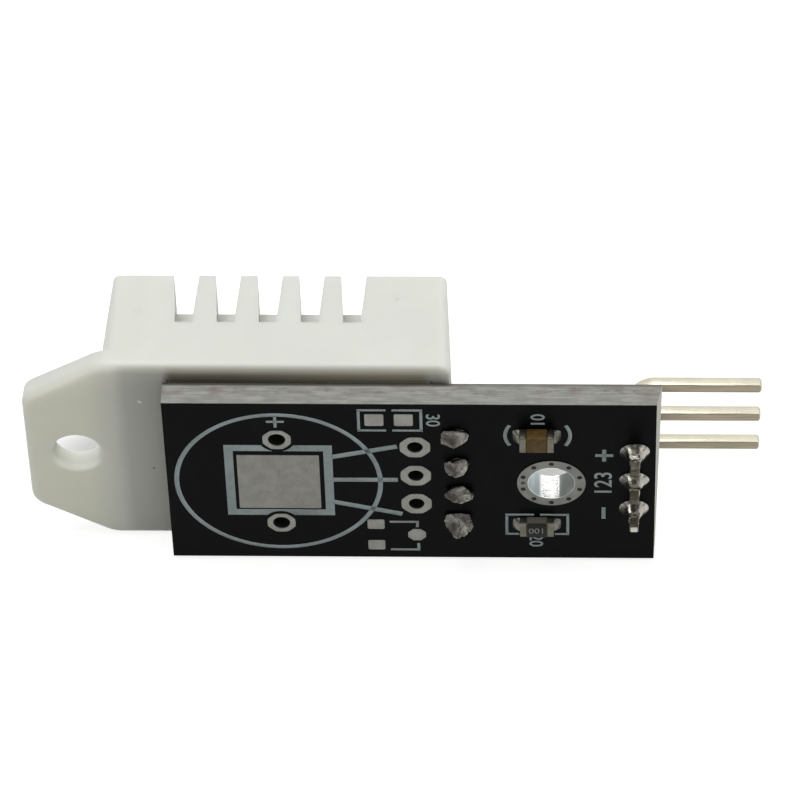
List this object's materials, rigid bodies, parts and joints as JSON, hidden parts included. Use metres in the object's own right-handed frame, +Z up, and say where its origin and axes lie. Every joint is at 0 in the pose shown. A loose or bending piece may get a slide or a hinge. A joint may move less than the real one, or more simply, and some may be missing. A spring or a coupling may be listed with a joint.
{
  "type": "temperature humidity sensor module",
  "caption": "Small circuit board with a white grilled sensor case soldered over one end and a right-angle pin header at the other.",
  "frame": {"origin": "axis of the board's mounting hole at the solder face", "axes": "+X along the board towards the pin header, +Y from the solder face towards the sensor case, +Z up across the board's width"},
  "size_m": [0.0431, 0.0113, 0.0151],
  "materials": {
    "solder_mask": "satin black solder mask on glass-fibre laminate",
    "tinned_copper": "dull tinned copper",
    "header_plastic": "moulded black plastic",
    "pin_metal": "pale gilt square wire",
    "bright_solder": "bright solder",
    "dull_solder": "dull grey solder",
    "lead_metal": "tinned strip",
    "capacitor_ceramic": "brown fired ceramic",
    "resistor_ceramic": "pale alumina",
    "resistor_coat": "glossy black coat",
    "band_metal": "dull plated end band",
    "case_plastic": "satin white moulding",
    "inner_laminate": "green solder mask",
    "element_ceramic": "ceramic plate with comb electrodes",
    "bead_resin": "black resin bead",
    "chip_plastic": "moulded black package"
  },
  "bodies": {
    "root": {"capacitor_band_left": "band_metal", "capacitor_band_right": "band_metal", "capacitor_body": "capacitor_ceramic", "capacitor_joint_left": "bright_solder", "capacitor_joint_right": "bright_solder", "case_cover": "case_plastic", "circuit_board": "solder_mask", "controller_chip": "chip_plastic", "controller_legs": "lead_metal", "element_terminals": "band_metal", "header_block": "header_plastic", "header_joint_1": "bright_solder", "header_joint_2": "bright_solder", "header_joint_3": "bright_solder", "header_pads": "tinned_copper", "header_pin_1": "pin_metal", "header_pin_2": "pin_metal", "header_pin_3": "pin_metal", "humidity_element": "element_ceramic", "inner_board": "inner_laminate", "lead_joint_1": "dull_solder", "lead_joint_2": "dull_solder", "lead_joint_3": "dull_solder", "lead_joint_4": "dull_solder", "lead_pads": "tinned_copper", "mounting_hole_plating": "tinned_copper", "pair_lands": "tinned_copper", "resistor_band_left": "band_metal", "resistor_band_right": "band_metal", "resistor_body": "resistor_ceramic", "resistor_coat": "resistor_coat", "resistor_joint_left": "bright_solder", "resistor_joint_right": "bright_solder", "round_part_pads": "tinned_copper", "sensor_case": "case_plastic", "sensor_lead_1": "lead_metal", "sensor_lead_2": "lead_metal", "sensor_lead_3": "lead_metal", "sensor_lead_4": "lead_metal", "spare_row_pads": "tinned_copper", "square_land": "tinned_copper", "thermistor_bead": "bead_resin", "thermistor_wires": "lead_metal", "trio_lands": "tinned_copper"}
  },
  "joints": []
}
